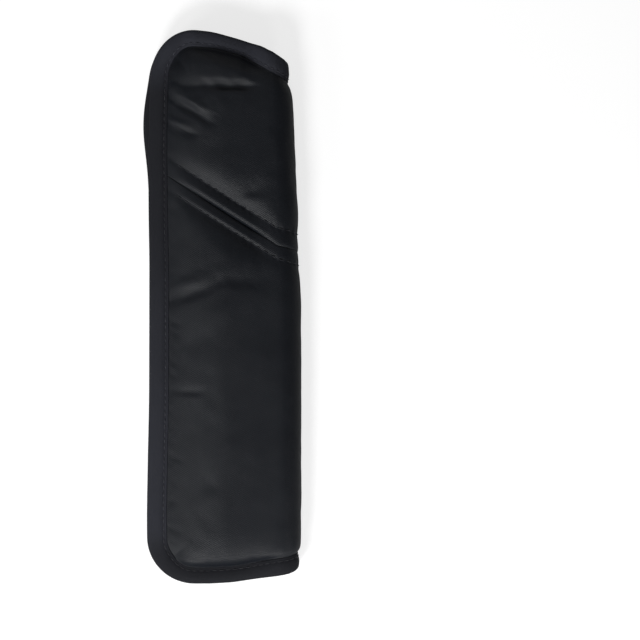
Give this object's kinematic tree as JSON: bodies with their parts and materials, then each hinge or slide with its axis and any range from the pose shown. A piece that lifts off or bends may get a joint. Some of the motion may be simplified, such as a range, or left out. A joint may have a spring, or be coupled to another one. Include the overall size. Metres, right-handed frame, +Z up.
{
  "type": "seat belt shoulder pad",
  "caption": "Padded cloth sleeve, folded lengthwise and bound round its edge, that closes with hook and loop tape round a seat belt's webbing.",
  "frame": {"origin": "middle of the bounding box, on the surface that the flap underneath lies on", "axes": "+X from the open bound edges to the fold, +Y up the pad towards its slanted end, +Z up, out of the front flap"},
  "size_m": [0.0802, 0.28, 0.0235],
  "materials": {
    "cover_cloth": "black satin-faced polyester twill, slight sheen",
    "binding_tape": "black plain-woven bias tape, matt",
    "lining_cloth": "black smooth lining cloth, matt",
    "foam": "dark open-cell foam sheet, hidden",
    "hook_tape": "black nylon hook tape",
    "loop_tape": "black napped loop tape"
  },
  "bodies": {
    "root": {"upper_cover_panel": "cover_cloth", "lower_cover_panel": "cover_cloth", "edge_binding": "binding_tape", "lining": "lining_cloth", "foam_padding": "foam", "hook_strip": "hook_tape", "loop_strip": "loop_tape"}
  },
  "joints": []
}
